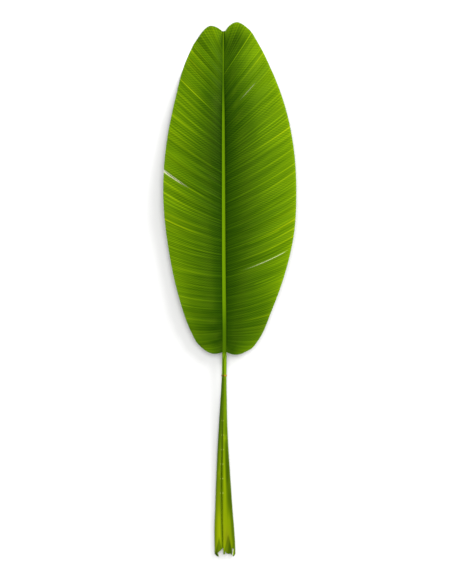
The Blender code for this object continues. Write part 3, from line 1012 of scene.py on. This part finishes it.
def blade_under():
    """The blade from below: paler and duller, with a grey bloom."""
    nodes = Nodes("blade_under")
    bands = nodes.streaks(*BAND_SIZE, 2.0, 1.0)
    streaks = nodes.streaks(*UNDER_STREAK_SIZE, 3.0, 2.0)
    tone = nodes.add(
        nodes.times(nodes.mark("tone"), UNDER_CONTRAST),
        UNDER_TONE,
        nodes.times(bands, UNDER_BANDS),
        nodes.times(streaks, UNDER_STREAKS),
        nodes.times(nodes.mark("ridge"), UNDER_RIDGES),
    )
    green = nodes.ramp(tone, GREENS)
    colour = nodes.mix(BLOOM_SHARE, green, BLOOM_COLOUR)
    nodes.bump(streaks, UNDER_RELIEF)
    return nodes.finish(colour, UNDER_ROUGHNESS)


def fibres(nodes, width):
    """Streaks along the stalk, from -1 to 1, that share of half the way round it wide."""
    vector = nodes.tree.nodes.new("ShaderNodeCombineXYZ")
    nodes.put(vector.inputs[0], nodes.math("DIVIDE", nodes.mark("across"), width))
    nodes.put(vector.inputs[1], nodes.math("DIVIDE", nodes.mark("place"), FIBRE_LENGTH))
    return nodes.noise(vector.outputs[0], 3.0)


def with_scar(nodes, green):
    """The green with the brown of the scar and the tinges on it, which is darker on the left as painted
    shade.
    """
    to_right = nodes.limits(nodes.mark("half"), -0.8, 0.8)
    brown = nodes.mix(to_right, SCAR_BROWNS_SHADED_AND_LIT[LEFT], SCAR_BROWNS_SHADED_AND_LIT[RIGHT])
    return nodes.mix(nodes.mark("brown"), green, brown)


def painted_lip_highlights(nodes):
    """Pale specks, from 0 to 1, at even steps along both lips of the slit: painted highlights."""
    steps = nodes.math("DIVIDE", nodes.add(nodes.mark("place"), -SPECK_START), SPECK_SPACING)
    wave = nodes.math("COSINE", nodes.times(steps, 2 * np.pi))
    at_lip = nodes.limits(nodes.math("ABSOLUTE", nodes.mark("across")), *SPECK_REACH)
    last = SPECK_COUNT - 1
    past_first = nodes.limits(steps, *(-fade for fade in SPECK_FADE))
    before_last = nodes.limits(steps, *(last + fade for fade in SPECK_FADE))
    speck = nodes.times(nodes.limits(wave, *SPECK_PEAK), at_lip)
    return nodes.times(speck, nodes.times(past_first, before_last))


def stalk_inside():
    """The channel of the rib, the petiole and the sheath."""
    nodes = Nodes("stalk_inside")
    fibre = fibres(nodes, INNER_FIBRE_WIDTH)
    tone = nodes.add(nodes.mark("tone"), nodes.times(fibre, 0.06))
    green = nodes.ramp(tone, GREENS)
    nodes.bump(fibre, FIBRE_RELIEF)
    return nodes.finish(with_scar(nodes, green), STALK_ROUGHNESS)


def stalk_outside():
    """The keel of the rib, and the outside of the petiole and the sheath, which is yellower."""
    nodes = Nodes("stalk_outside")
    fibre = fibres(nodes, OUTER_FIBRE_WIDTH)
    tone = nodes.add(nodes.mark("tone"), nodes.times(fibre, 0.07))
    towards_rib = nodes.limits(nodes.mark("place"), 0.10, 0.50)
    green = nodes.mix(towards_rib, nodes.ramp(tone, STALK_GREENS), nodes.ramp(tone, GREENS))
    # Painted highlights along the lips of the slit
    speck = nodes.times(painted_lip_highlights(nodes), SPECK_STRENGTH)
    colour = nodes.mix(speck, with_scar(nodes, green), LIP_HIGHLIGHT_COLOUR)
    nodes.bump(fibre, FIBRE_RELIEF)
    return nodes.finish(colour, STALK_ROUGHNESS)


def torn_edge():
    """The pale flesh along the cut."""
    nodes = Nodes("torn_edge")
    return nodes.finish((*TORN_COLOUR, 1), TORN_ROUGHNESS)


def make_leaf():
    """The leaf over the middle of the solid's box, with its marks, its map and its materials."""
    sheet = Sheet()
    add_blade(sheet, add_stalk(sheet))
    points, marks, faces, materials = sheet.solid()
    to_middle = [(LEFT_HALF_WIDTH - RIGHT_HALF_WIDTH) / 2, -LEAF_LENGTH / 2, 0]
    mesh = bpy.data.meshes.new("banana_leaf_fine")
    mesh.from_pydata((points + to_middle).tolist(), [], faces)
    spots = flat_map(points, marks, faces, materials)
    mesh.uv_layers.new(name="OFBake").data.foreach_set("uv", spots.ravel())
    for material in (blade_upper(), blade_under(), stalk_inside(), stalk_outside(), torn_edge()):
        mesh.materials.append(material)
    mesh.polygons.foreach_set("material_index", materials)
    for name, values in zip(MARKS, marks.T):
        mesh.attributes.new(name, "FLOAT", "POINT").data.foreach_set("value", values)
    mesh.shade_smooth()
    mesh.set_sharp_from_angle(angle=np.radians(60))
    leaf = bpy.data.objects.new("banana_leaf_fine", mesh)
    bpy.context.scene.collection.objects.link(leaf)
    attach(leaf, "root")
    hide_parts("banana_leaf")


# The picture: what the camera takes in at the height of the leaf, and where its middle is
VIEW_HEIGHT = 1.4182
VIEW_MIDDLE = (-0.0092, -0.0069)
LEAF_LEVEL = 0.020
CAMERA_HEIGHT = 6.0
SENSOR = 36.0
FARTHEST = 100
FLOOR_HALF = 8.0
FLOOR_COLOUR = (0.66, 0.66, 0.655)

# Square lights that point at the leaf, as (name, place, side, power), and how bright the room is
SOFTBOXES = (
    ("key", (4.86, 4.38, 4.24), 4.4, 518),
    ("overhead", (0.3, 0.8, 8.0), 5.0, 600),
)
ROOM_STRENGTH = 0.55


def add_camera():
    """Looks straight down."""
    data = bpy.data.cameras.new("camera")
    data.sensor_width = SENSOR
    data.lens = SENSOR * (CAMERA_HEIGHT - LEAF_LEVEL) / VIEW_HEIGHT
    data.clip_end = FARTHEST
    camera = bpy.data.objects.new("camera", data)
    camera.location = (*VIEW_MIDDLE, CAMERA_HEIGHT)
    bpy.context.scene.collection.objects.link(camera)
    bpy.context.scene.camera = camera


def add_floor():
    """A wide pale floor."""
    nodes = Nodes("floor")
    mesh = bpy.data.meshes.new("floor")
    corners = [(x * FLOOR_HALF, y * FLOOR_HALF, 0) for x, y in ((-1, -1), (1, -1), (1, 1), (-1, 1))]
    mesh.from_pydata(corners, [], [(0, 1, 2, 3)])
    mesh.materials.append(nodes.finish((*FLOOR_COLOUR, 1), FLOOR_ROUGHNESS, 0.0))
    floor = bpy.data.objects.new("floor", mesh)
    bpy.context.scene.collection.objects.link(floor)


def add_softbox(name, place, size, power):
    """A square area light that points at the leaf."""
    data = bpy.data.lights.new(name, "AREA")
    data.shape = "SQUARE"
    data.size = size
    data.energy = power
    light = bpy.data.objects.new(name, data)
    light.location = place
    light.rotation_euler = (-Vector(place)).to_track_quat("-Z", "Y").to_euler()
    bpy.context.scene.collection.objects.link(light)


def add_lights():
    """A large soft key from the right and the tip, a wide light overhead, and a pale room."""
    for softbox in SOFTBOXES:
        add_softbox(*softbox)
    world = bpy.data.worlds.new("room")
    world.use_nodes = True
    background = world.node_tree.nodes["Background"]
    background.inputs["Color"].default_value = (1, 1, 1, 1)
    background.inputs["Strength"].default_value = ROOM_STRENGTH
    bpy.context.scene.world = world
    bpy.context.scene.view_settings.view_transform = "Standard"


make_leaf()
add_camera()
add_floor()
add_lights()
